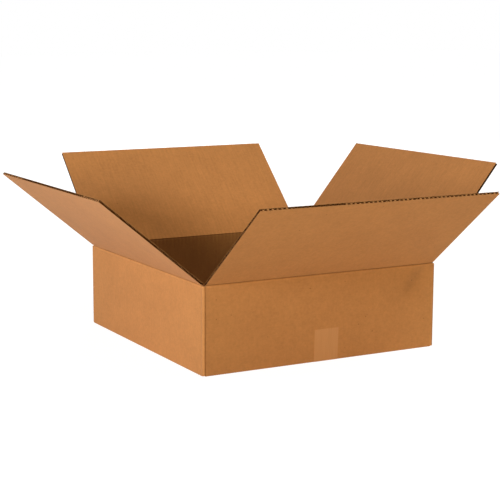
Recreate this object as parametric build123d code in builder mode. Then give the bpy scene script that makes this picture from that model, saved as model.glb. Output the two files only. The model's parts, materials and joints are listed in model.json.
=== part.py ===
from build123d import *
import os
from math import cos, radians, sin, tan

# An open regular slotted carton of single-wall corrugated board, standing on its taped bottom.
# The origin is on the surface it stands on, under the middle of the carton. +X runs along the front
# wall, +Y runs from the front wall to the back wall, and +Z is up. All sizes are in millimetres.

# Carton, outside sizes
carton_length = 465.0  # along X
carton_width = 465.0  # along Y
score_height = 154.0  # from the ground to the top score lines

# Board
board = 4.0  # caliper of the corrugated board
liner = 0.35  # each of the two facing papers
medium = 0.3  # the wavy paper, where it lies against a facing
medium_web = 0.4  # the wavy paper, measured along the board where it slopes
flute_pitch = 8.27
flute_tip = 1.0  # width of the flat inside a wave's tip

# Top flaps, from score line to free edge, and how far each leans out from upright, in degrees
left_flap_length = 233.0
right_flap_length = 220.0
front_flap_length = 229.0
back_flap_length = 231.0
left_flap_angle = 50.5
right_flap_angle = 39.5
front_flap_angle = 51.0
back_flap_angle = 45.6

# Scores and slots
slot_half = 5.0  # half the slot between two flaps, measured from the corner
slot_depth = 2.5  # how far a top slot reaches below the score lines
slot_nick = 0.5  # how far each score's taper runs into the slots beside it
bead_radius = 0.6  # crushed board left at a score line
bead_clearance = 0.25  # air round that bead
layer_gap = 0.25  # air between two layers of closed flaps
open_limit = 120.0  # furthest a top flap folds out, from upright
closed_limit = 90.0  # how far it folds in, from upright
fold_slack = 3.0  # degrees of room left at each limit
crushed_band = 12.0  # flutes are pressed flat this far from a score line

# Corners, bottom and glued joint
corner_radius = 2.0
fold_radius = 1.2  # outside radius of the bottom folds
fold_flat = 1.2  # width that an end fold rests on the tape
fold_height = 16.0  # height of wall that is drawn with each bottom fold
bottom_seam = 2.0  # gap between the two outer bottom flaps
inner_seam = 4.0  # gap between the two inner bottom flaps
edge_clearance = 0.4  # between an end fold and the outer bottom flaps beside it
lap_width = 35.0
lap_taper = 6.0
lap_end_room = 10.0  # from each end of the lap to the nearest score line or flap
joint_recess = 0.5  # the back wall's raw edge stops this short of the corner
joint_groove = 0.9  # groove where the right wall folds behind that edge
flute_slit = 2.0  # how deep a cut along the flutes lies open between the two facings

# Tape
tape_thickness = 0.2
tape_width = 48.0
tape_tail = 57.0  # height of each tail from the ground
tape_shift = 5.4  # how far the strip lies off the middle, along X

overshoot = 2.0  # how far a cutting shape passes the board

half_length = carton_length / 2
half_width = carton_width / 2
end_flap_width = carton_length - 2 * slot_half
side_flap_width = carton_width - 2 * slot_half
outer_axis_height = score_height + bead_radius + layer_gap / 2
inner_axis_height = score_height - bead_radius - layer_gap / 2
outer_axis_depth = board - bead_radius
inner_axis_depth = bead_radius
inner_layer = tape_thickness + board + layer_gap

up = Vector(0, 0, 1)
left, right = Vector(-1, 0, 0), Vector(1, 0, 0)
front, back = Vector(0, -1, 0), Vector(0, 1, 0)

# side, half the span it closes, flap width, flap length, angle, axis depth below outer face, axis height
top_flaps = {
    "top_flap_front": (front, half_width, end_flap_width, front_flap_length, front_flap_angle,
                       inner_axis_depth, inner_axis_height),
    "top_flap_back": (back, half_width, end_flap_width, back_flap_length, back_flap_angle,
                      inner_axis_depth, inner_axis_height),
    "top_flap_left": (left, half_length, side_flap_width, left_flap_length, left_flap_angle,
                      outer_axis_depth, outer_axis_height),
    "top_flap_right": (right, half_length, side_flap_width, right_flap_length, right_flap_angle,
                       outer_axis_depth, outer_axis_height),
}


def fold_room(thickness, limit):
    # Length of the crushed taper beside a score, so that two boards fold to the limit without meeting.
    return thickness / tan(radians(90 - (limit + fold_slack) / 2))


def score_plane(side, half_span, depth, height, angle):
    # The score line's own plane: local X runs up the board, local Y out of its outer face.
    origin = side * (half_span - depth) + up * height
    return Plane(origin, x_dir=side * sin(radians(angle)) + up * cos(radians(angle)), z_dir=up.cross(side))


def section_plane(side):
    # Upright section through the carton's middle: local X runs outwards, local Y up.
    return Plane((0, 0, 0), x_dir=side, z_dir=side.cross(up))


def make_top_flap(side, half_span, width, length, angle, depth, height):
    hinge = score_plane(side, half_span, depth, height, angle)
    along_board = hinge.x_dir
    flute_count = 2 * round((width / flute_pitch - 1) / 2) + 1  # odd, so that both sides cut a flute open
    pitch = width / flute_count
    half_core = board / 2 - liner
    narrow = flute_tip / 2
    wide = pitch / 2 - medium_web - narrow
    free_edge = Plane(
        hinge.origin + along_board * length + hinge.y_dir * (depth - board / 2),
        x_dir=hinge.z_dir, z_dir=along_board)
    outward = hinge.y_dir.dot(free_edge.y_dir)  # +1 or -1: which way the outer face lies in that plane
    with BuildPart() as top_flap:
        with BuildSketch(hinge):
            with BuildLine():
                Polyline(
                    (0, 0), (fold_room(depth, open_limit), depth), (length, depth),
                    (length, depth - board), (fold_room(board - depth, closed_limit), depth - board),
                    close=True)
            make_face()
            Circle(bead_radius)
        extrude(amount=width / 2, both=True)
        # Flute channels under the outer facing and under the inner facing, half a pitch apart
        with BuildSketch(free_edge):
            for face, count in ((outward, flute_count + 1), (-outward, flute_count)):
                with GridLocations(pitch, 0, count, 1):
                    Polygon(
                        (-wide, face * half_core), (wide, face * half_core),
                        (narrow, face * (medium - half_core)), (-narrow, face * (medium - half_core)),
                        align=None)
        extrude(amount=-(length - crushed_band), mode=Mode.SUBTRACT)
    return top_flap.part


def cut_score(side, half_span, width, depth, height):
    # Takes the board away above a wall's score: a seat for the bead between two crushed tapers.
    inner = board - depth
    out_slope = fold_room(depth, open_limit) / depth
    in_slope = fold_room(inner, closed_limit) / inner
    with BuildSketch(score_plane(side, half_span, depth, height, 0)) as notch:
        with BuildLine():
            Polyline(
                (0, 0), (-out_slope * (depth + overshoot), depth + overshoot),
                (board, depth + overshoot), (board, -inner - overshoot),
                (-in_slope * (inner + overshoot), -inner - overshoot), close=True)
        make_face()
        Circle(bead_radius + bead_clearance)
    extrude(notch.sketch, amount=width / 2 + slot_nick, both=True, mode=Mode.SUBTRACT)


def add_outer_bottom_flap(side, half_span, width):
    ground = tape_thickness
    with BuildSketch(section_plane(side)) as section:
        with BuildLine():
            Polyline(
                (half_span, fold_height), (half_span, ground), (bottom_seam / 2, ground),
                (bottom_seam / 2, ground + board), (half_span - board, ground + board),
                (half_span - board, fold_height), close=True)
        make_face()
        fillet(section.vertices().sort_by_distance((half_span, ground, 0))[0], fold_radius)
    extrude(section.sketch, amount=width / 2, both=True)


def add_inner_bottom_flap(side, half_span, width):
    # The wall folds under at the ground, then rises over the edges of the outer bottom flaps.
    ground = tape_thickness
    with BuildSketch(section_plane(side)) as section:
        with BuildLine():
            Polyline(
                (half_span, fold_height), (half_span, ground), (half_span - fold_radius - fold_flat, ground),
                (half_span - slot_half + edge_clearance, inner_layer), (inner_seam / 2, inner_layer),
                (inner_seam / 2, inner_layer + board), (half_span - board, inner_layer + board),
                (half_span - board, fold_height), close=True)
        make_face()
        fillet(section.vertices().sort_by_distance((half_span, ground, 0))[0], fold_radius)
    extrude(section.sketch, amount=width / 2, both=True)


# Walls, bottom flaps and glued lap: one folded blank
wall_foot = tape_thickness + fold_radius
slot_bottom = score_height - slot_depth
lap_foot = inner_layer + board + lap_end_room
lap_top = score_height - lap_end_room
with BuildPart() as carton_body:
    with BuildSketch(Plane.XY.offset(wall_foot)) as walls:
        Rectangle(carton_length, carton_width)
        glued_corner = walls.vertices().sort_by_distance((half_length, half_width, 0))[0]
        fillet([corner for corner in walls.vertices() if corner != glued_corner], corner_radius)
        Rectangle(carton_length - 2 * board, carton_width - 2 * board, mode=Mode.SUBTRACT)
    extrude(amount=outer_axis_height - wall_foot)

    add_outer_bottom_flap(left, half_length, side_flap_width)
    add_outer_bottom_flap(right, half_length, side_flap_width)
    add_inner_bottom_flap(front, half_width, end_flap_width)
    add_inner_bottom_flap(back, half_width, end_flap_width)

    # Lap of the right wall, glued to the inside of the back wall
    with BuildSketch(Plane.XZ.offset(board - half_width)):
        with BuildLine():
            Polyline(
                (half_length - board, lap_foot), (half_length - board, lap_top),
                (half_length - board - lap_width, lap_top - lap_taper),
                (half_length - board - lap_width, lap_foot + lap_taper), close=True)
        make_face()
    extrude(amount=board)

    # Open flute along the lap's cut edge
    with BuildSketch(Plane.XY.offset(lap_foot)):
        with Locations((half_length - board - lap_width, half_width - 1.5 * board)):
            Rectangle(2 * flute_slit, board - 2 * liner)
    extrude(amount=lap_top - lap_foot, mode=Mode.SUBTRACT)

    # Raw edge of the back wall at the glued corner, and the groove of the fold behind it
    with BuildSketch(Plane.XY):
        with BuildLine():
            Polyline(
                (half_length + overshoot, half_width + overshoot),
                (half_length - joint_recess, half_width + overshoot),
                (half_length - joint_recess, half_width - board),
                (half_length - joint_groove, half_width - board),
                (half_length, half_width - board - joint_groove),
                (half_length + overshoot, half_width - board - joint_groove), close=True)
        make_face()
        with Locations((half_length - joint_recess, half_width - board / 2)):
            Rectangle(2 * flute_slit, board - 2 * liner)
    extrude(amount=outer_axis_height + overshoot, mode=Mode.SUBTRACT)

    # Top scores, then the slots at the corners
    for side, half_span, width, length, angle, depth, height in top_flaps.values():
        cut_score(side, half_span, width, depth, height)
    with BuildSketch(Plane.XY.offset(slot_bottom)):
        with GridLocations(carton_length - slot_half, carton_width - slot_half, 2, 2):
            Rectangle(slot_half, slot_half)
    extrude(amount=outer_axis_height, mode=Mode.SUBTRACT)

# One strip of tape under the seam and up the front and back walls
with BuildPart() as bottom_tape:
    with BuildSketch(Plane.YZ.offset(tape_shift - tape_width / 2)) as strip:
        with Locations((0, tape_tail / 2)):
            Rectangle(carton_width + 2 * tape_thickness, tape_tail)
        fillet(strip.vertices().group_by(Axis.Y)[0], fold_radius + tape_thickness)
        with BuildSketch(mode=Mode.PRIVATE) as hollow:
            with Locations((0, tape_thickness + tape_tail / 2)):
                Rectangle(carton_width, tape_tail)
            fillet(hollow.vertices().group_by(Axis.Y)[0], fold_radius)
        add(hollow.sketch_local, mode=Mode.SUBTRACT)
    extrude(amount=tape_width)

os.makedirs("parts", exist_ok=True)
carton_body.part.label = "carton_body"
export_step(carton_body.part, "parts/carton_body.step")
bottom_tape.part.label = "bottom_tape"
export_step(bottom_tape.part, "parts/bottom_tape.step")
for name, sizes in top_flaps.items():
    top_flap = make_top_flap(*sizes)
    top_flap.label = name
    export_step(top_flap, f"parts/{name}.step")
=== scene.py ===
import json
from math import ceil, cos, exp, hypot, pi, radians, sin, tan

import bmesh
import bpy
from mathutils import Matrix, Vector
from mathutils.noise import noise


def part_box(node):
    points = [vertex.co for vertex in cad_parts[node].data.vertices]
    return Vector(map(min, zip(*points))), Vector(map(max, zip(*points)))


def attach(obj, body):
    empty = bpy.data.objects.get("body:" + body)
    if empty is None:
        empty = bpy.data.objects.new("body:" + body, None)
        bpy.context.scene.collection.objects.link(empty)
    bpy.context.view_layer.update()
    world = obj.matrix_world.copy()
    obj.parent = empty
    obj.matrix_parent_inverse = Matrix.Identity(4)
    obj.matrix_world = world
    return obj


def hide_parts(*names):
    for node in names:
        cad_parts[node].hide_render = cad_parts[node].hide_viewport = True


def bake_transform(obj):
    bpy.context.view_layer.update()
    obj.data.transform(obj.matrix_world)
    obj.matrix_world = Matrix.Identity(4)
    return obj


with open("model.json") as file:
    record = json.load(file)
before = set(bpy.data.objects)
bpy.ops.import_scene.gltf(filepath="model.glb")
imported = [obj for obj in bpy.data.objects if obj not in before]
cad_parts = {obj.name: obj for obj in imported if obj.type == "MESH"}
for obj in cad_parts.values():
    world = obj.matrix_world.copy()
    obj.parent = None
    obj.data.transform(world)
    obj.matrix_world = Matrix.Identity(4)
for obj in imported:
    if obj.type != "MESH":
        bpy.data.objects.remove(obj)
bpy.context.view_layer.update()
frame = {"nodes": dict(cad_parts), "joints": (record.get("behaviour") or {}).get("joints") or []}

mm = 0.001
up = Vector((0, 0, 1))
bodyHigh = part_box("carton_body")[1]
colourA, colourB = 6, 7  # a Mix node's two colour sockets, which share their names with others


def sheetMesh():
    # Empty lists of points and faces, which the sheets of paper below are added to
    return {"points": [], "places": [], "across": [], "inside": [], "faces": [], "slots": []}


def addSheet(paper, top, under, places, across, faceSlot, underSlot, edgeSlot, isInside=0.0):
    # A closed sheet between two grids of points. Its rim gets the material of a cut edge
    first = len(paper["points"])
    rows, columns = len(top), len(top[0])
    for grid in (top, under):
        for r in range(rows):
            paper["points"] += grid[r]
            paper["places"] += places[r]
            paper["across"] += across[r]
            paper["inside"] += [isInside] * columns
    lower = first + rows * columns

    def quad(a, b, c, d, slot):
        paper["faces"].append((a, b, c, d))
        paper["slots"].append(slot)

    for r in range(rows - 1):
        for c in range(columns - 1):
            a = r * columns + c
            b = a + columns
            quad(first + a, first + a + 1, first + b + 1, first + b, faceSlot)
            quad(lower + a, lower + b, lower + b + 1, lower + a + 1, underSlot)
    last = (rows - 1) * columns
    for a in range(columns - 1):
        b = last + a
        quad(first + a, lower + a, lower + a + 1, first + a + 1, edgeSlot)
        quad(first + b, first + b + 1, lower + b + 1, lower + b, edgeSlot)
    for r in range(rows - 1):
        a, b = r * columns, (r + 1) * columns
        quad(first + a, first + b, lower + b, lower + a, edgeSlot)
        a, b = a + columns - 1, b + columns - 1
        quad(first + a, lower + a, lower + b, first + b, edgeSlot)


def makePiece(name, paper, materials, sharpAngle=40):
    mesh = bpy.data.meshes.new(name)
    mesh.from_pydata(paper["points"], [], paper["faces"])
    mesh.polygons.foreach_set("material_index", paper["slots"])
    place = mesh.attributes.new("boardPlace", "FLOAT_VECTOR", "POINT")
    place.data.foreach_set("vector", [value for point in paper["places"] for value in point])
    for attribute, values in (("acrossFlutes", "across"), ("insideFacing", "inside")):
        mesh.attributes.new(attribute, "FLOAT", "POINT").data.foreach_set("value", paper[values])
    shaped = bmesh.new()
    shaped.from_mesh(mesh)
    bmesh.ops.recalc_face_normals(shaped, faces=shaped.faces)
    shaped.to_mesh(mesh)
    shaped.free()
    for material in materials:
        mesh.materials.append(material)
    mesh.shade_smooth()
    mesh.set_sharp_from_angle(angle=radians(sharpAngle))
    piece = bpy.data.objects.new(name, mesh)
    bpy.context.scene.collection.objects.link(piece)
    return piece


def smooth(x):
    x = min(1.0, max(0.0, x))
    return x * x * (3 - 2 * x)


def bell(x):
    return exp(-x * x)


def wobble(position, size, seed):
    # Soft noise from -1 to 1 along a line, with features of the given size
    return 2 * noise(Vector((position / size, 17.3 * seed, 3.1)))


def linear(colour):
    # sRGB hex to the linear values that a socket takes
    channels = [int(colour[i:i + 2], 16) / 255 for i in (1, 3, 5)]
    return [c / 12.92 if c <= 0.04045 else ((c + 0.055) / 1.055) ** 2.4 for c in channels] + [1.0]


def add(tree, kind, links=None, **settings):
    # Adds a node. Each entry of links is a socket to link from, or a value
    node = tree.nodes.new(kind)
    for name, value in settings.items():
        setattr(node, name, value)
    for name, source in (links or {}).items():
        if isinstance(source, bpy.types.NodeSocket):
            tree.links.new(source, node.inputs[name])
        else:
            node.inputs[name].default_value = source
    return node


def newMaterial(name):
    material = bpy.data.materials.new(name)
    material.use_nodes = True
    material.node_tree.nodes.clear()
    return material, material.node_tree


# Kraft board: brown unbleached paper, calendered on a paper machine and glued over flutes.
# It gives the eye a matt orange brown with soft clouds, short fibres, a few dark specks, and the
# flutes showing through as faint stripes that grow near the scores. Painted shade darkens the
# walls' inside and lines the folds, and a painted highlight runs just below each outer fold.
kraft = {
    "light": "#C98A50", "dark": "#B47A46", "speck": "#6F4522",
    "cloudSize": 60.0, "mottleSize": 13.0, "grainSize": 4.5,  # mm
    "fibreLength": 9.0, "fibreWidth": 1.8,  # mm. Real fibres, 3 by 0.04 mm, are too fine to show
    "cloudShare": 0.5, "mottleShare": 0.5, "grainShare": 0.8, "fibreShare": 0.5,
    "allDark": 0.8, "allLight": 1.5,  # values of their sum that give the two browns
    "speckCell": 14.0,  # mm
    "speckCore": 0.045, "speckRim": 0.105,  # shares of a cell
    "speckShare": 0.22, "speckDepth": 0.5,  # share of the cells, then of the colour
    "flutePitch": 8.27,  # mm, C flute
    "stripeShade": 0.012,  # share
    "stripesElsewhere": 0.55,  # strength off the walls' inside, as a share of that on it
    "creaseShade": 0.15, "creaseReach": 24.0,  # share, then mm
    "streakWidth": 4.0, "streakLength": 50.0,  # mm
    "streakShade": 0.28,  # share
    "outerStreaks": 0.1,  # strength on the outside, as a share of that on the inside
    "outerFold": 153.1, "innerFold": 154.95,  # mm, heights of the folds on each facing
    "foldSoft": 0.6,  # mm over which what only the walls have ends below the fold
    # Painted shade along each fold, and a painted highlight just below the outer folds
    "paintedFoldShade": 0.42, "foldWidth": 1.4,  # share, then mm
    "foldBelow": 1.3,  # mm that the dark line stands lower on the inside
    "paintedFoldHighlight": 0.12, "paleBelow": 2.8, "paleWidth": 1.8,  # share, then mm
    # Painted shade: a tint that darkens the walls' inside facing below the fold
    "paintedInsideShade": (0.57, 0.59, 0.54),
    "stripeRelief": 0.015, "mottleRelief": 0.04, "grainRelief": 0.02, "fibreRelief": 0.008,  # mm
    "cornerBead": 0.8, "beadFrom": 3.2, "beadWidth": 2.4,  # mm, scores of the upright corners
    # Soft knock in the front wall, in mm, and its tilt in degrees
    "dentAt": (200.0, -232.5, 125.0), "dentLength": 46.0, "dentWidth": 27.0, "dentDepth": 6.0,
    "dentTilt": -38.0,
    "roughness": 0.8, "roughnessSpread": 0.06, "ior": 1.45, "specular": 0.2,
    "sheen": 0.05, "sheenRoughness": 0.5,
}


def kraftMaterial(name, ofFlap):
    material, tree = newMaterial(name)
    if ofFlap:
        place = add(tree, "ShaderNodeAttribute", attribute_name="boardPlace").outputs["Vector"]
        across = add(tree, "ShaderNodeAttribute", attribute_name="acrossFlutes").outputs["Fac"]
        inside = add(tree, "ShaderNodeAttribute", attribute_name="insideFacing").outputs["Fac"]
        placeXyz = add(tree, "ShaderNodeSeparateXYZ", {"Vector": place})
    else:
        # Flutes vary with X in the walls along X, and with Y in the others and under the bottom
        turnedSideways = 0.7
        coordinates = add(tree, "ShaderNodeTexCoord")
        place = coordinates.outputs["Object"]
        placeXyz = add(tree, "ShaderNodeSeparateXYZ", {"Vector": place})
        facing = add(tree, "ShaderNodeSeparateXYZ", {"Vector": coordinates.outputs["Normal"]})
        sideways = add(tree, "ShaderNodeMath", {0: facing.outputs["X"]}, operation="ABSOLUTE")
        downward = add(tree, "ShaderNodeMath", {
            0: facing.outputs["Z"], 1: -1.0}, operation="MULTIPLY")
        alongY = add(tree, "ShaderNodeMath", {
            0: sideways.outputs[0], 1: downward.outputs[0]}, operation="MAXIMUM")
        isY = add(tree, "ShaderNodeMath", {
            0: alongY.outputs[0], 1: turnedSideways}, operation="GREATER_THAN")
        across = add(tree, "ShaderNodeMix", {
            "Factor": isY.outputs[0], "A": placeXyz.outputs["X"],
            "B": placeXyz.outputs["Y"]}).outputs["Result"]
        # An inside facing looks towards the middle of the carton
        fromMiddle = add(tree, "ShaderNodeVectorMath", {
            0: place, 1: (0, 0, bodyHigh.z / 2)}, operation="SUBTRACT")
        outward = add(tree, "ShaderNodeVectorMath", {
            0: fromMiddle.outputs["Vector"], 1: coordinates.outputs["Normal"]},
            operation="DOT_PRODUCT")
        inside = add(tree, "ShaderNodeMath", {
            0: outward.outputs["Value"], 1: 0.0}, operation="LESS_THAN").outputs[0]

    # Formation of the paper: clouds, mottling, grain and fibres choose between the two browns
    clouds = add(tree, "ShaderNodeTexNoise", {
        "Vector": place, "Scale": 1 / (kraft["cloudSize"] * mm), "Detail": 3.0,
        "Roughness": 0.55})
    mottle = add(tree, "ShaderNodeTexNoise", {
        "Vector": place, "Scale": 1 / (kraft["mottleSize"] * mm), "Detail": 4.0,
        "Roughness": 0.6})
    grain = add(tree, "ShaderNodeTexNoise", {
        "Vector": place, "Scale": 1 / (kraft["grainSize"] * mm), "Detail": 3.0,
        "Roughness": 0.6})
    sizes = ("fibreLength", "fibreLength", "fibreWidth")
    stretch = add(tree, "ShaderNodeMapping", {
        "Vector": place, "Scale": [1 / (kraft[size] * mm) for size in sizes]})
    fibres = add(tree, "ShaderNodeTexNoise", {
        "Vector": stretch.outputs["Vector"], "Scale": 1.0, "Detail": 3.0, "Roughness": 0.7,
        "Distortion": 0.6})
    formation = add(tree, "ShaderNodeMath", {
        0: clouds.outputs["Fac"], 1: kraft["cloudShare"]}, operation="MULTIPLY")
    for part, share in ((mottle, "mottleShare"), (grain, "grainShare"), (fibres, "fibreShare")):
        formation = add(tree, "ShaderNodeMath", {
            0: part.outputs["Fac"], 1: kraft[share], 2: formation.outputs[0]},
            operation="MULTIPLY_ADD")
    formation = add(tree, "ShaderNodeMapRange", {
        "Value": formation.outputs[0], "From Min": kraft["allDark"],
        "From Max": kraft["allLight"]}, clamp=True)
    paper = add(tree, "ShaderNodeMix", {
        "Factor": formation.outputs["Result"], colourA: linear(kraft["dark"]),
        colourB: linear(kraft["light"])}, data_type="RGBA")

    # Distance up from the fold, on either facing
    fold = add(tree, "ShaderNodeMath", {
        0: inside, 1: (kraft["innerFold"] - kraft["outerFold"]) * mm,
        2: kraft["outerFold"] * mm}, operation="MULTIPLY_ADD")
    fromFold = add(tree, "ShaderNodeMath", {
        0: placeXyz.outputs["Z"], 1: fold.outputs[0]}, operation="SUBTRACT")
    foldDistance = add(tree, "ShaderNodeMath", {0: fromFold.outputs[0]}, operation="ABSOLUTE")
    below = add(tree, "ShaderNodeMapRange", {
        "Value": fromFold.outputs[0], "From Min": -kraft["foldSoft"] * mm, "From Max": 0.0,
        "To Min": 1.0, "To Max": 0.0})
    deep = add(tree, "ShaderNodeMath", {
        0: below.outputs["Result"], 1: inside}, operation="MULTIPLY")

    # Flutes showing through: a soft stripe for each flute, stronger on the inside beside a score,
    # and uneven streaks along the flutes on the inside
    turns = add(tree, "ShaderNodeMath", {
        0: across, 1: 2 * pi / (kraft["flutePitch"] * mm)}, operation="MULTIPLY")
    wave = add(tree, "ShaderNodeMath", {0: turns.outputs[0]}, operation="COSINE")
    nearScore = add(tree, "ShaderNodeMapRange", {
        "Value": foldDistance.outputs[0], "From Max": kraft["creaseReach"] * mm,
        "To Min": kraft["creaseShade"], "To Max": 0.0}, interpolation_type="SMOOTHSTEP")
    pressed = add(tree, "ShaderNodeMath", {
        0: nearScore.outputs["Result"], 1: inside, 2: kraft["stripeShade"]},
        operation="MULTIPLY_ADD")
    stripeShare = add(tree, "ShaderNodeMapRange", {
        "Value": deep.outputs[0], "To Min": kraft["stripesElsewhere"], "To Max": 1.0})
    uneven = add(tree, "ShaderNodeMath", {
        0: stripeShare.outputs["Result"], 1: mottle.outputs["Fac"]}, operation="MULTIPLY")
    patchy = add(tree, "ShaderNodeMath", {
        0: pressed.outputs[0], 1: uneven.outputs[0]}, operation="MULTIPLY")
    stripe = add(tree, "ShaderNodeMath", {
        0: wave.outputs[0], 1: patchy.outputs[0]}, operation="MULTIPLY")
    sizes = ("streakWidth", "streakWidth", "streakLength")
    streakPlace = add(tree, "ShaderNodeMapping", {
        "Vector": place, "Scale": [1 / (kraft[size] * mm) for size in sizes]})
    streaks = add(tree, "ShaderNodeTexNoise", {
        "Vector": streakPlace.outputs["Vector"], "Scale": 1.0, "Detail": 2.0, "Roughness": 0.6})
    streakDepth = add(tree, "ShaderNodeMapRange", {
        "Value": inside, "To Min": kraft["outerStreaks"] * kraft["streakShade"],
        "To Max": kraft["streakShade"]})
    streakFrom = add(tree, "ShaderNodeMath", {
        0: streaks.outputs["Fac"], 1: 0.5}, operation="SUBTRACT")
    streaked = add(tree, "ShaderNodeMath", {
        0: streakFrom.outputs[0], 1: streakDepth.outputs["Result"], 2: stripe.outputs[0]},
        operation="MULTIPLY_ADD")

    # Painted shade: a dark line along the fold, where the crease lies in shade. Outside, a painted
    # highlight just below it, where the bulge under the fold catches the light
    fromDark = add(tree, "ShaderNodeMath", {
        0: inside, 1: kraft["foldBelow"] * mm, 2: fromFold.outputs[0]}, operation="MULTIPLY_ADD")
    darkDistance = add(tree, "ShaderNodeMath", {0: fromDark.outputs[0]}, operation="ABSOLUTE")
    foldShadeLine = add(tree, "ShaderNodeMapRange", {
        "Value": darkDistance.outputs[0], "From Max": kraft["foldWidth"] * mm,
        "To Min": kraft["paintedFoldShade"], "To Max": 0.0}, interpolation_type="SMOOTHSTEP")
    fromPale = add(tree, "ShaderNodeMath", {
        0: fromFold.outputs[0], 1: kraft["paleBelow"] * mm}, operation="ADD")
    paleDistance = add(tree, "ShaderNodeMath", {0: fromPale.outputs[0]}, operation="ABSOLUTE")
    foldHighlightLine = add(tree, "ShaderNodeMapRange", {
        "Value": paleDistance.outputs[0], "From Max": kraft["paleWidth"] * mm,
        "To Min": kraft["paintedFoldHighlight"], "To Max": 0.0}, interpolation_type="SMOOTHSTEP")
    outside = add(tree, "ShaderNodeMath", {0: 1.0, 1: inside}, operation="SUBTRACT")
    paintedHighlight = add(tree, "ShaderNodeMath", {
        0: foldHighlightLine.outputs["Result"], 1: outside.outputs[0]}, operation="MULTIPLY")
    darkened = add(tree, "ShaderNodeMath", {
        0: foldShadeLine.outputs["Result"], 1: streaked.outputs[0]}, operation="ADD")
    change = add(tree, "ShaderNodeMath", {
        0: paintedHighlight.outputs[0], 1: darkened.outputs[0]}, operation="SUBTRACT")
    shade = add(tree, "ShaderNodeMath", {0: 1.0, 1: change.outputs[0]}, operation="ADD")
    shaded = add(tree, "ShaderNodeVectorMath", {
        0: paper.outputs["Result"], "Scale": shade.outputs[0]}, operation="SCALE")
    # Painted shade: the walls' inside facing below the fold is darkened where the carton's inside
    # lies in shade
    insideShaded = add(tree, "ShaderNodeVectorMath", {
        0: shaded.outputs["Vector"], 1: kraft["paintedInsideShade"]}, operation="MULTIPLY")
    striped = add(tree, "ShaderNodeMix", {
        "Factor": deep.outputs[0], colourA: shaded.outputs["Vector"],
        colourB: insideShaded.outputs["Vector"]}, data_type="RGBA")

    # Specks of bark, in only some of the cells
    specks = add(tree, "ShaderNodeTexVoronoi", {
        "Vector": place, "Scale": 1 / (kraft["speckCell"] * mm), "Randomness": 1.0})
    isSpeck = add(tree, "ShaderNodeMapRange", {
        "Value": specks.outputs["Distance"], "From Min": kraft["speckCore"],
        "From Max": kraft["speckRim"], "To Min": kraft["speckDepth"], "To Max": 0.0})
    cellPick = add(tree, "ShaderNodeSeparateColor", {"Color": specks.outputs["Color"]})
    chosen = add(tree, "ShaderNodeMath", {
        0: cellPick.outputs["Red"], 1: kraft["speckShare"]}, operation="LESS_THAN")
    speckAmount = add(tree, "ShaderNodeMath", {
        0: isSpeck.outputs["Result"], 1: chosen.outputs[0]}, operation="MULTIPLY")
    colour = add(tree, "ShaderNodeMix", {
        "Factor": speckAmount.outputs[0], colourA: striped.outputs["Result"],
        colourB: linear(kraft["speck"])}, data_type="RGBA")

    # Relief in millimetres
    height = add(tree, "ShaderNodeMath", {
        0: wave.outputs[0], 1: kraft["stripeRelief"]}, operation="MULTIPLY")
    for part, relief in (
            (mottle, "mottleRelief"), (grain, "grainRelief"), (fibres, "fibreRelief")):
        height = add(tree, "ShaderNodeMath", {
            0: part.outputs["Fac"], 1: kraft[relief], 2: height.outputs[0]},
            operation="MULTIPLY_ADD")
    # The knock in the front wall, which ends at the fold above it
    sizes = ("dentLength", "dentLength", "dentWidth")
    dentPlace = add(tree, "ShaderNodeMapping", {
        "Vector": place, "Location": [value * mm for value in kraft["dentAt"]],
        "Rotation": (0, radians(kraft["dentTilt"]), 0),
        "Scale": [kraft[size] * mm for size in sizes]}, vector_type="TEXTURE")
    dentDistance = add(tree, "ShaderNodeVectorMath", {
        0: dentPlace.outputs["Vector"]}, operation="LENGTH")
    dent = add(tree, "ShaderNodeMapRange", {
        "Value": dentDistance.outputs["Value"], "To Min": -kraft["dentDepth"], "To Max": 0.0},
        interpolation_type="SMOOTHSTEP")
    height = add(tree, "ShaderNodeMath", {
        0: dent.outputs["Result"], 1: below.outputs["Result"], 2: height.outputs[0]},
        operation="MULTIPLY_ADD")
    if not ofFlap:
        # Upright score lines beside the corners
        fromEdge = add(tree, "ShaderNodeMath", {0: across}, operation="ABSOLUTE")
        toBead = add(tree, "ShaderNodeMath", {
            0: bodyHigh.x - kraft["beadFrom"] * mm, 1: fromEdge.outputs[0]},
            operation="SUBTRACT")
        beadDistance = add(tree, "ShaderNodeMath", {0: toBead.outputs[0]}, operation="ABSOLUTE")
        bead = add(tree, "ShaderNodeMapRange", {
            "Value": beadDistance.outputs[0], "From Max": kraft["beadWidth"] * mm,
            "To Min": kraft["cornerBead"], "To Max": 0.0}, interpolation_type="SMOOTHSTEP")
        height = add(tree, "ShaderNodeMath", {
            0: height.outputs[0], 1: bead.outputs["Result"]}, operation="ADD")
    relief = add(tree, "ShaderNodeBump", {
        "Height": height.outputs[0], "Strength": 1.0, "Distance": mm})
    rough = add(tree, "ShaderNodeMapRange", {
        "Value": mottle.outputs["Fac"], "To Min": kraft["roughness"] - kraft["roughnessSpread"],
        "To Max": kraft["roughness"] + kraft["roughnessSpread"]})
    surface = add(tree, "ShaderNodeBsdfPrincipled", {
        "Base Color": colour.outputs["Result"], "Roughness": rough.outputs["Result"],
        "IOR": kraft["ior"], "Specular IOR Level": kraft["specular"],
        "Sheen Weight": kraft["sheen"], "Sheen Roughness": kraft["sheenRoughness"],
        "Normal": relief.outputs["Normal"]})
    add(tree, "ShaderNodeOutputMaterial", {"Surface": surface.outputs["BSDF"]})
    return material


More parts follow.
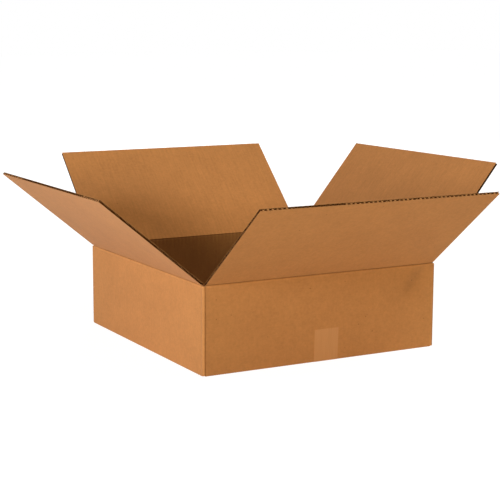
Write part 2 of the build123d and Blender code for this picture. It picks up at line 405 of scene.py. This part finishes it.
# Fluting medium: recycled paper, corrugated between hot rolls. Darker and duller than the facings,
# and darker still with painted shade. The facings' hidden sides are painted shade of the flute
# channels, so the open flutes read as dark holes. The cut edges of all three papers are torn fibre,
# paler and quite without gloss.
medium = {
    "medium": "#60340F", "mediumDark": "#402008", "cut": "#C08C5C", "cutDark": "#9E6B3E",
    # Painted shade: the facings' hidden sides, seen inside the open flutes
    "glued": "#4F280B", "gluedDark": "#301804",
    "grainSize": 1.4,  # mm
    "allDark": 0.3, "allLight": 0.7,  # values of the grain that give the two colours
    "relief": 0.1, "reliefStrength": 0.6,  # mm, then a share
    "roughness": 0.92, "ior": 1.45, "specular": 0.02,
}


def rawPaperMaterial(name, lightColour, darkColour):
    material, tree = newMaterial(name)
    place = add(tree, "ShaderNodeAttribute", attribute_name="boardPlace").outputs["Vector"]
    grain = add(tree, "ShaderNodeTexNoise", {
        "Vector": place, "Scale": 1 / (medium["grainSize"] * mm), "Detail": 3.0,
        "Roughness": 0.7})
    tone = add(tree, "ShaderNodeMapRange", {
        "Value": grain.outputs["Fac"], "From Min": medium["allDark"],
        "From Max": medium["allLight"]})
    colour = add(tree, "ShaderNodeMix", {
        "Factor": tone.outputs["Result"], colourA: linear(darkColour),
        colourB: linear(lightColour)}, data_type="RGBA")
    relief = add(tree, "ShaderNodeBump", {
        "Height": grain.outputs["Fac"], "Strength": medium["reliefStrength"],
        "Distance": medium["relief"] * mm})
    surface = add(tree, "ShaderNodeBsdfPrincipled", {
        "Base Color": colour.outputs["Result"], "Roughness": medium["roughness"],
        "IOR": medium["ior"], "Specular IOR Level": medium["specular"],
        "Normal": relief.outputs["Normal"]})
    add(tree, "ShaderNodeOutputMaterial", {"Surface": surface.outputs["BSDF"]})
    return material


# Packing tape: tan polypropylene film with acrylic glue, rolled down by hand. It gives the eye a
# smoother, slightly paler strip with a soft satin gloss that follows the paper below.
tape = {
    "light": "#D0935A", "dark": "#C3864E",
    "thickness": 0.2,  # mm
    "streakLength": 60.0, "streakWidth": 4.0,  # mm
    "pressSize": 14.0, "pressRelief": 0.06,  # mm
    "roughness": 0.42, "ior": 1.49, "specular": 0.3,
    "toothPitch": 1.6, "toothDepth": 0.9,  # mm
    "tilt": 1.5,  # mm that the front tail's end stands to the right
    "raggedness": 0.075, "raggedSize": 9.0, "raggedSeed": 21,  # mm, mm and the noise's seed
    "rowStep": 3.0, "bend": 1.4, "bendRows": 6,  # mm, mm and rows round a bottom fold
}


def tapeMaterial(name):
    material, tree = newMaterial(name)
    place = add(tree, "ShaderNodeAttribute", attribute_name="boardPlace").outputs["Vector"]
    across = add(tree, "ShaderNodeAttribute", attribute_name="acrossFlutes").outputs["Fac"]
    sizes = ("streakWidth", "streakLength", "streakLength")
    stretch = add(tree, "ShaderNodeMapping", {
        "Vector": place, "Scale": [1 / (tape[size] * mm) for size in sizes]})
    streaks = add(tree, "ShaderNodeTexNoise", {
        "Vector": stretch.outputs["Vector"], "Scale": 1.0, "Detail": 3.0, "Roughness": 0.6})
    pressed = add(tree, "ShaderNodeTexNoise", {
        "Vector": place, "Scale": 1 / (tape["pressSize"] * mm), "Detail": 2.0})
    colour = add(tree, "ShaderNodeMix", {
        "Factor": streaks.outputs["Fac"], colourA: linear(tape["dark"]),
        colourB: linear(tape["light"])}, data_type="RGBA")
    turns = add(tree, "ShaderNodeMath", {
        0: across, 1: 2 * pi / (kraft["flutePitch"] * mm)}, operation="MULTIPLY")
    wave = add(tree, "ShaderNodeMath", {0: turns.outputs[0]}, operation="COSINE")
    waveHeight = add(tree, "ShaderNodeMath", {
        0: wave.outputs[0], 1: kraft["stripeRelief"]}, operation="MULTIPLY")
    height = add(tree, "ShaderNodeMath", {
        0: pressed.outputs["Fac"], 1: tape["pressRelief"], 2: waveHeight.outputs[0]},
        operation="MULTIPLY_ADD")
    relief = add(tree, "ShaderNodeBump", {
        "Height": height.outputs[0], "Strength": 1.0, "Distance": mm})
    surface = add(tree, "ShaderNodeBsdfPrincipled", {
        "Base Color": colour.outputs["Result"], "Roughness": tape["roughness"],
        "IOR": tape["ior"], "Specular IOR Level": tape["specular"],
        "Normal": relief.outputs["Normal"]})
    add(tree, "ShaderNodeOutputMaterial", {"Surface": surface.outputs["BSDF"]})
    return material


bodyKraft = kraftMaterial("kraftBoardWalls", ofFlap=False)
flapKraft = kraftMaterial("kraftBoardFlaps", ofFlap=True)
mediumPaper = rawPaperMaterial("flutingMedium", medium["medium"], medium["mediumDark"])
cutPaper = rawPaperMaterial("cutPaperEdge", medium["cut"], medium["cutDark"])
# Its two browns are painted shade of the flute channels
gluedSide = rawPaperMaterial("gluedSideOfFacing", medium["glued"], medium["gluedDark"])
tapeFilm = tapeMaterial("tanPackingTape")
print("materials made")


# Top flaps, each with the crease that joins it to its wall. Sizes in mm
kraftSlot, mediumSlot, cutSlot, gluedSlot = range(4)  # the order of a flap's materials
board = {
    "thick": 4.0, "facing": 0.32, "medium": 0.28, "pitchAim": 8.27, "segmentsPerFlute": 12,
    "columnWidth": 3.0, "flapRows": 16,
    "skinReach": 12.0, "foldRows": 14,  # the crease runs this far down the wall
    "proud": 0.02, "proudFrom": 4.0, "proudFade": 6.0,  # the skin's stand-off and where it fades
    "wallBead": 0.5, "flapBead": 0.25, "beadAt": 2.8, "beadWidth": 1.7,  # beside an outer fold
    "tuck": 1.1, "tuckWidth": 1.0,  # valley of a fold that closes up
    "groove": 1.0, "grooveAt": 1.4, "grooveWidth": 1.1,  # pressed just below a fold that opens
    "foldRound": 0.8, "endFade": 8.0,  # the beads fade over this at a flap's sides
    "blendReach": 5.5,  # half the way over which the flap's turn blends into the wall
    # Unevenness of the cut along the free edge
    "edgeWander": 0.15, "edgeWanderSize": 6.0, "mediumWander": 0.45, "mediumWanderSize": 3.0,
    # Rows of the medium, from just above the fold over its pressed part to the free edge
    "mediumStart": 1.0, "crushedReach": 12.0, "crushedRows": 6, "crushedPower": 1.6,
    "straightRows": 7,
    "fluteDrift": 0.25,  # degrees that the flutes run off the cut
    # Torn rim of the medium along a flap's sides
    "fringe": 3.0, "fringeStep": 2.5, "fringeDepth": 2.6, "fringeColumns": 4,
    "fringeSize": 5.0, "fringeSwing": 1.4,
    # Torn medium that closes part of a flute's mouth at the free edge
    "burr": 2.7, "burrReach": 1.6, "burrSize": 9.0, "burrMean": 0.75, "burrSwing": 0.5,
    "crestFrom": 0.5, "crestSlope": 2.4, "cleanFade": 12.0,
}
flaps = {
    # cleanCut is a stretch of the free edge without torn medium, in mm from its middle
    "frontFlap": {"node": "top_flap_front", "body": "front_flap", "hinge": "front_flap_hinge",
                  "seed": 1, "cleanCut": (-180, -70)},
    "backFlap": {"node": "top_flap_back", "body": "back_flap", "hinge": "back_flap_hinge",
                 "seed": 2, "cleanCut": (60, 110)},
    "leftFlap": {"node": "top_flap_left", "body": "left_flap", "hinge": "left_flap_hinge",
                 "seed": 3, "cleanCut": (-160, 120)},
    "rightFlap": {"node": "top_flap_right", "body": "right_flap", "hinge": "right_flap_hinge",
                  "seed": 4, "cleanCut": (-60, 40)},
}


def hingeOf(flap):
    # Everything about a flap's place that the frame tells, in mm from the hinge axis
    joint = next(j for j in frame["joints"] if j["name"] == flap["hinge"])
    axis = Vector(joint["pos_m"])
    low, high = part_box(flap["node"])
    alongX = abs(axis.y) > abs(axis.x)
    if alongX:
        along, outward = Vector((1, 0, 0)), Vector((0, 1 if axis.y > 0 else -1, 0))
    else:
        along, outward = Vector((0, 1, 0)), Vector((1 if axis.x > 0 else -1, 0, 0))
    wallFace = (bodyHigh.y if alongX else bodyHigh.x) / mm
    depth = wallFace - axis.dot(outward) / mm
    reach = max(low.dot(outward), high.dot(outward)) / mm - axis.dot(outward) / mm
    rise = (high.z - axis.z) / mm
    width = ((high - low).dot(along)) / mm
    # The outer edge of the free end gives the reach and its inner edge the rise. Each round
    # brings lean and length nearer to both
    lean, length = radians(45), 0.0
    for step in range(20):
        outEdge = reach - depth * cos(lean)
        inEdge = rise - (board["thick"] - depth) * sin(lean)
        length = hypot(outEdge, inEdge)
        lean = abs(pi / 2 - Vector((outEdge, inEdge)).angle(Vector((1, 0))))
    return {"axis": axis, "along": along, "outward": outward, "depth": depth, "lean": lean,
            "length": length, "width": width}


def foldLine(hinge, faceDepth, q):
    # A facing's own line at distance q from its fold, its normal, and the fold's corner. The wall
    # is at q < 0 and the flap at q > 0
    lean = hinge["lean"]
    corner = Vector((cos(lean / 2), -sin(lean / 2))) * (faceDepth / cos(lean / 2))
    onWall, onFlap = Vector((0, 1)), Vector((sin(lean), cos(lean)))
    r = board["foldRound"]
    if q <= -r:
        point, way = corner + onWall * q, onWall
    elif q >= r:
        point, way = corner + onFlap * q, onFlap
    else:
        t = (q + r) / (2 * r)
        start, end = corner - onWall * r, corner + onFlap * r
        point = start * (1 - t) ** 2 + corner * 2 * t * (1 - t) + end * t ** 2
        way = ((corner - start) * (1 - t) + (end - corner) * t).normalized()
    normal = Vector((way.y, -way.x)) * (1 if faceDepth > 0 else -1)
    return point, normal, corner


def facingLift(q, isOuter, atEnd):
    # How far a facing stands off its plain face beside the fold
    skin = board["proud"] * (1 - smooth((q - board["proudFrom"]) / board["proudFade"]))
    if not isOuter:
        return skin - board["groove"] * exp(-((q + board["grooveAt"]) / board["grooveWidth"]) ** 4)
    beads = board["wallBead"] * bell((q + board["beadAt"]) / board["beadWidth"])
    beads += board["flapBead"] * bell((q - board["beadAt"]) / board["beadWidth"])
    return skin + beads * atEnd - board["tuck"] * bell(q / board["tuckWidth"])


def spread(hinge, u, v, w):
    return hinge["axis"] + (hinge["outward"] * u + up * v + hinge["along"] * w) * mm


def addFacing(paper, hinge, isOuter, seed):
    faceDepth = hinge["depth"] if isOuter else hinge["depth"] - board["thick"]
    foldAt = faceDepth * tan(hinge["lean"] / 2)
    end = hinge["length"] - foldAt
    reach, foldRows, flapRows = board["skinReach"], board["foldRows"], board["flapRows"]
    steps = [reach * (i / foldRows) ** 2 for i in range(1, foldRows + 1)]
    distances = [-s for s in reversed(steps)] + [0.0] + steps
    distances += [reach + (end - reach) * i / flapRows for i in range(1, flapRows + 1)]
    half = hinge["width"] / 2
    columns = ceil(hinge["width"] / board["columnWidth"])
    edgeSeed = seed + (0.5 if isOuter else 0.0)
    top, under, places, across = [], [], [], []
    for q in distances:
        row, lower, placed, crossed = [], [], [], []
        for c in range(columns + 1):
            w = -half + hinge["width"] * c / columns
            atEnd = smooth((half - abs(w)) / board["endFade"])
            wander = board["edgeWander"] * wobble(w, board["edgeWanderSize"], edgeSeed)
            along = q + (wander - board["edgeWander"] if q == distances[-1] else 0.0)
            point, normal, corner = foldLine(hinge, faceDepth, along)
            lift = facingLift(along, isOuter, atEnd)
            high, low = point + normal * lift, point + normal * (lift - board["facing"])
            row.append(spread(hinge, high.x, high.y, w))
            lower.append(spread(hinge, low.x, low.y, w))
            placed.append(spread(hinge, faceDepth, corner.y + q, w))
            crossed.append(w * mm)
        top.append(row)
        under.append(lower)
        places.append(placed)
        across.append(crossed)
    addSheet(paper, top, under, places, across, kraftSlot, gluedSlot, cutSlot,
             isInside=0.0 if isOuter else 1.0)


def boardInside(hinge, s):
    # The room between the two facings at distance s up the flap: its middle and half its height
    outerFold = hinge["depth"] * tan(hinge["lean"] / 2)
    innerFold = (hinge["depth"] - board["thick"]) * tan(hinge["lean"] / 2)
    outer = hinge["depth"] + facingLift(s - outerFold, True, 1.0) - board["facing"]
    inner = hinge["depth"] - board["thick"] - facingLift(s - innerFold, False, 1.0)
    inner += board["facing"]
    return (outer + inner) / 2, max(0.1, (outer - inner) / 2)


def fluteWave(hinge, s, w, pitch):
    # The medium's distance from the hinge axis, square to the board. Cut sides run along its slopes
    middle, room = boardInside(hinge, s)
    drift = tan(radians(board["fluteDrift"])) * (s - hinge["length"] / 2)
    turn = 2 * pi * (w + hinge["width"] / 2 + drift) / pitch
    return middle - (room - board["medium"] / 2) * sin(turn)


def addMedium(paper, hinge, seed, cleanCut):
    flutes = round(hinge["width"] / board["pitchAim"])
    pitch = hinge["width"] / flutes
    half, length = hinge["width"] / 2, hinge["length"]
    start = hinge["depth"] * tan(hinge["lean"] / 2) + board["mediumStart"]
    alongFlap = Vector((sin(hinge["lean"]), cos(hinge["lean"])))
    square = Vector((cos(hinge["lean"]), -sin(hinge["lean"])))

    def burrAt(s, w, t):
        # How far torn medium hangs over the flute below it, which it never quite closes
        middle, room = boardInside(hinge, s)
        atEdge = smooth((s - length) / board["burrReach"] + 1)
        onCrest = smooth((t - middle) / room * board["crestSlope"] - board["crestFrom"])
        uneven = board["burrMean"] + board["burrSwing"] * wobble(w, board["burrSize"], seed + 3)
        isClean = cleanCut[0] < w < cleanCut[1]
        cut = min(abs(w - cleanCut[0]), abs(w - cleanCut[1])) if isClean else 0.0
        burr = board["burr"] * uneven * (1 - smooth(cut / board["cleanFade"]))
        return min(atEdge * onCrest * burr, max(0.0, t - middle + room - board["medium"]))

    def mediumGrid(rowList, columnsAt):
        top, under, places, across = [], [], [], []
        step = 0.05  # mm over which the wave's slope is taken
        for s in rowList:
            row, lower, placed, crossed = [], [], [], []
            for w in columnsAt(s):
                back = 0.0
                if s == rowList[-1]:
                    ragged = wobble(w, board["mediumWanderSize"], seed + 7)
                    back = board["mediumWander"] * (0.5 + 0.5 * ragged)
                t = fluteWave(hinge, s, w, pitch)
                slope = (fluteWave(hinge, s, w + step, pitch) - t) / step
                tilt = Vector((-slope, 1.0)).normalized() * board["medium"] / 2
                burr = burrAt(s, w, t)
                for grid, sign, torn in ((row, 1, 0.0), (lower, -1, burr)):
                    at = alongFlap * (s - back) + square * (t + sign * tilt.y - torn)
                    grid.append(spread(hinge, at.x, at.y, w + sign * tilt.x))
                placed.append(spread(hinge, t, s, w))
                crossed.append(w * mm)
            top.append(row)
            under.append(lower)
            places.append(placed)
            across.append(crossed)
        addSheet(paper, top, under, places, across, mediumSlot, mediumSlot, cutSlot)

    crushedRows, straightRows = board["crushedRows"], board["straightRows"]
    crushed = [start + board["crushedReach"] * (i / crushedRows) ** board["crushedPower"]
               for i in range(crushedRows + 1)]
    run = length - board["burrReach"] - crushed[-1]
    straight = [crushed[-1] + run * i / straightRows for i in range(1, straightRows + 1)]
    straight += [length - 0.5 * board["burrReach"], length]
    inside = half - board["fringe"]
    count = flutes * board["segmentsPerFlute"]
    columns = [-inside + 2 * inside * i / count for i in range(count + 1)]
    mediumGrid(crushed + straight, lambda s: columns)

    # The torn rim of the medium along each side of the flap
    fringeRows = ceil((length - start) / board["fringeStep"])
    rows = [start + (length - start) * i / fringeRows for i in range(fringeRows + 1)]
    fringeColumns = board["fringeColumns"]
    for side in (-1, 1):
        def tornColumns(s):
            swing = board["fringeSwing"] * wobble(s, board["fringeSize"], seed + 11 * side)
            torn = smooth(0.5 + swing) * board["fringeDepth"]
            return [side * (half - torn - (board["fringe"] - torn) * i / fringeColumns)
                    for i in range(fringeColumns + 1)]
        mediumGrid(rows, tornColumns)


for name, flap in flaps.items():
    hinge = hingeOf(flap)
    paper = sheetMesh()
    addFacing(paper, hinge, True, flap["seed"])
    addFacing(paper, hinge, False, flap["seed"])
    addMedium(paper, hinge, flap["seed"], flap["cleanCut"])
    piece = makePiece(name, paper, [flapKraft, mediumPaper, cutPaper, gluedSide])
    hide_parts(flap["node"])
    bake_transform(piece)
    print(name, "lean", round(hinge["lean"] * 180 / pi, 2), "length", round(hinge["length"], 2),
          "triangles", 2 * len(paper["faces"]))


# The carton's walls and bottom stay as the CAD has them
body = frame["nodes"]["carton_body"]
body.data.materials.clear()
body.data.materials.append(bodyKraft)
print("walls and bottom papered")


# One strip of tape, down the front wall, under the bottom and up the back wall
def tapePath(low, high):
    # Points and normals of the strip's outer face in the YZ plane, and the way run along it, in mm
    top, bend, bendRows = high.z / mm, tape["bend"], tape["bendRows"]
    front, back = low.y / mm, high.y / mm
    path, run = [], 0.0

    def straight(y0, z0, y1, z1, normal, withEnd=False):
        nonlocal run
        length = hypot(y1 - y0, z1 - z0)
        count = ceil(length / tape["rowStep"])
        for i in range(count + 1 if withEnd else count):
            t = i / count
            path.append((y0 + (y1 - y0) * t, z0 + (z1 - z0) * t, normal, run + length * t))
        run += length

    def turn(y, z, fromAngle):
        nonlocal run
        for i in range(bendRows):
            angle = radians(fromAngle + 90 * i / bendRows)
            normal = (cos(angle), sin(angle))
            path.append((y + bend * normal[0], z + bend * normal[1], normal,
                         run + bend * radians(90 * i / bendRows)))
        run += bend * radians(90)

    straight(front, top, front, bend, (-1.0, 0.0))
    turn(front + bend, bend, 180)
    straight(front + bend, 0.0, back - bend, 0.0, (0.0, -1.0))
    turn(back - bend, bend, 270)
    straight(back, bend, back, top, (1.0, 0.0), withEnd=True)
    return path


def makeTape():
    low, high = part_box("bottom_tape")
    path = tapePath(low, high)
    middle, half = (low.x + high.x) / 2 / mm, (high.x - low.x) / 2 / mm
    columns = 2 * round(2 * half / tape["toothPitch"])
    tail = high.z / mm
    top, under, places, across = [], [], [], []
    for row, (y, z, (ny, nz), run) in enumerate(path):
        outer, inner, placed, crossed = [], [], [], []
        lean = tape["tilt"] * max(0.0, 1 - run / tail)
        for c in range(columns + 1):
            x = middle - half + 2 * half * c / columns
            ragged = tape["raggedness"] * wobble(run, tape["raggedSize"], tape["raggedSeed"])
            shift = lean + (ragged if c in (0, columns) else 0.0)
            bite = tape["toothDepth"] * (c % 2) if row in (0, len(path) - 1) else 0.0
            inY, inZ = y - ny * tape["thickness"], z - nz * tape["thickness"]
            outer.append(Vector((x + shift, y, z - bite)) * mm)
            inner.append(Vector((x + shift, inY, inZ - bite)) * mm)
            placed.append(Vector((x, y, z)) * mm)
            crossed.append(x * mm)
        top.append(outer)
        under.append(inner)
        places.append(placed)
        across.append(crossed)
    paper = sheetMesh()
    addSheet(paper, top, under, places, across, 0, 0, 0)
    piece = makePiece("tapeStrip", paper, [tapeFilm])
    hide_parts("bottom_tape")
    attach(piece, "carton")


makeTape()
print("tape made")


# Floor, light and camera. Soft lamps stand to the left, in front, above and behind. Metres, watts
studio = {
    "floorColour": "#F4F4F2", "floorSize": 40.0, "floorDiffuse": 0.25,
    "floorGlow": 0.92, "glowFrom": 0.35, "glowTo": 1.1,  # metres over which the floor turns white
    "ambient": 0.01,
    "aimAt": (0.0, 0.0, 0.2),
    "lamps": {
        "leftWindow": {"place": (-3.3, -0.9, 1.03), "size": 0.6, "power": 75.6,
                       "tint": (0.895, 0.925, 1.0)},
        "cornerWindow": {"place": (-2.1, -2.9, 0.48), "size": 0.5, "power": 44.0,
                         "tint": (1.0, 0.95, 0.77)},
        "frontFill": {"place": (0.4, -3.5, 1.09), "size": 0.6, "power": 6.0,
                      "tint": (1.0, 0.75, 0.2)},
        "topLamp": {"place": (0.0, 0.0, 3.6), "size": 2.0, "power": 12.0,
                    "tint": (1.0, 0.7, 0.2)},
        "rightLamp": {"place": (1.6, -0.8, 3.0), "size": 2.0, "power": 52.0,
                      "tint": (1.0, 0.98, 0.86)},
        "backLamp": {"place": (1.9, 3.5, 1.1), "size": 1.5, "power": 42.0,
                     "tint": (1.0, 1.0, 1.0)},
    },
}


def seenDirectly(tree):
    # 1 for what the camera sees, itself or in a reflection, and 0 for light on the object
    path = add(tree, "ShaderNodeLightPath")
    either = add(tree, "ShaderNodeMath", {
        0: path.outputs["Is Camera Ray"], 1: path.outputs["Is Glossy Ray"]}, operation="MAXIMUM")
    return add(tree, "ShaderNodeMath", {
        0: either.outputs[0], 1: path.outputs["Is Transmission Ray"]},
        operation="MAXIMUM").outputs[0]


def makeFloor():
    # Pale plain board for the light, and for the camera a white that keeps the carton's shadow
    material, tree = newMaterial("paleFloor")
    seen = seenDirectly(tree)
    plain = add(tree, "ShaderNodeBsdfDiffuse", {"Color": linear(studio["floorColour"])})
    shaded = add(tree, "ShaderNodeBsdfDiffuse", {"Color": [studio["floorDiffuse"]] * 3 + [1.0]})
    middle = add(tree, "ShaderNodeTexCoord")
    away = add(tree, "ShaderNodeVectorMath", {0: middle.outputs["Object"]}, operation="LENGTH")
    level = add(tree, "ShaderNodeMapRange", {
        "Value": away.outputs["Value"], "From Min": studio["glowFrom"],
        "From Max": studio["glowTo"], "To Min": studio["floorGlow"], "To Max": 1.0},
        interpolation_type="SMOOTHSTEP")
    glow = add(tree, "ShaderNodeEmission", {
        "Color": (1, 1, 1, 1), "Strength": level.outputs["Result"]})
    white = add(tree, "ShaderNodeAddShader", {0: shaded.outputs[0], 1: glow.outputs[0]})
    either = add(tree, "ShaderNodeMixShader", {0: seen, 1: plain.outputs[0], 2: white.outputs[0]})
    add(tree, "ShaderNodeOutputMaterial", {"Surface": either.outputs[0]})
    half = studio["floorSize"] / 2
    corners = [(-half, -half, 0), (half, -half, 0), (half, half, 0), (-half, half, 0)]
    mesh = bpy.data.meshes.new("paleFloor")
    mesh.from_pydata(corners, [], [(0, 1, 2, 3)])
    mesh.materials.append(material)
    floor = bpy.data.objects.new("paleFloor", mesh)
    bpy.context.scene.collection.objects.link(floor)


def makeWorld():
    world = bpy.data.worlds.new("whiteRoom")
    bpy.context.scene.world = world
    world.use_nodes = True
    tree = world.node_tree
    tree.nodes.clear()
    seen = seenDirectly(tree)
    soft = add(tree, "ShaderNodeBackground", {
        "Color": (1, 1, 1, 1), "Strength": studio["ambient"]})
    white = add(tree, "ShaderNodeBackground", {"Color": (1, 1, 1, 1), "Strength": 1.0})
    either = add(tree, "ShaderNodeMixShader", {0: seen, 1: soft.outputs[0], 2: white.outputs[0]})
    add(tree, "ShaderNodeOutputWorld", {"Surface": either.outputs[0]})


def makeLamps():
    for name, lamp in studio["lamps"].items():
        light = bpy.data.lights.new(name, "AREA")
        light.energy, light.size, light.color = lamp["power"], lamp["size"], lamp["tint"]
        holder = bpy.data.objects.new(name, light)
        holder.location = lamp["place"]
        aim = Vector(studio["aimAt"]) - Vector(lamp["place"])
        holder.rotation_euler = aim.to_track_quat("-Z", "Y").to_euler()
        bpy.context.scene.collection.objects.link(holder)


camera = {
    "place": (-1.2189, -2.1445, 0.5749), "turn": 27.81, "down": 9.57,  # metres and degrees
    "focal": 1348.8, "imageSize": 500, "middleX": 215.0,  # pixels of the photograph's frame
    "sensor": 36.0,  # mm
}


def makeCamera():
    data = bpy.data.cameras.new("photoCamera")
    data.sensor_width = camera["sensor"]
    data.lens = camera["focal"] / camera["imageSize"] * camera["sensor"]
    data.shift_x = (camera["imageSize"] / 2 - camera["middleX"]) / camera["imageSize"]
    holder = bpy.data.objects.new("photoCamera", data)
    holder.location = camera["place"]
    holder.rotation_euler = (radians(90 - camera["down"]), 0, radians(-camera["turn"]))
    bpy.context.scene.collection.objects.link(holder)
    bpy.context.scene.camera = holder


makeFloor()
makeWorld()
makeLamps()
makeCamera()
bpy.context.scene.view_settings.view_transform = "Standard"
print("stage, lamps and camera made")
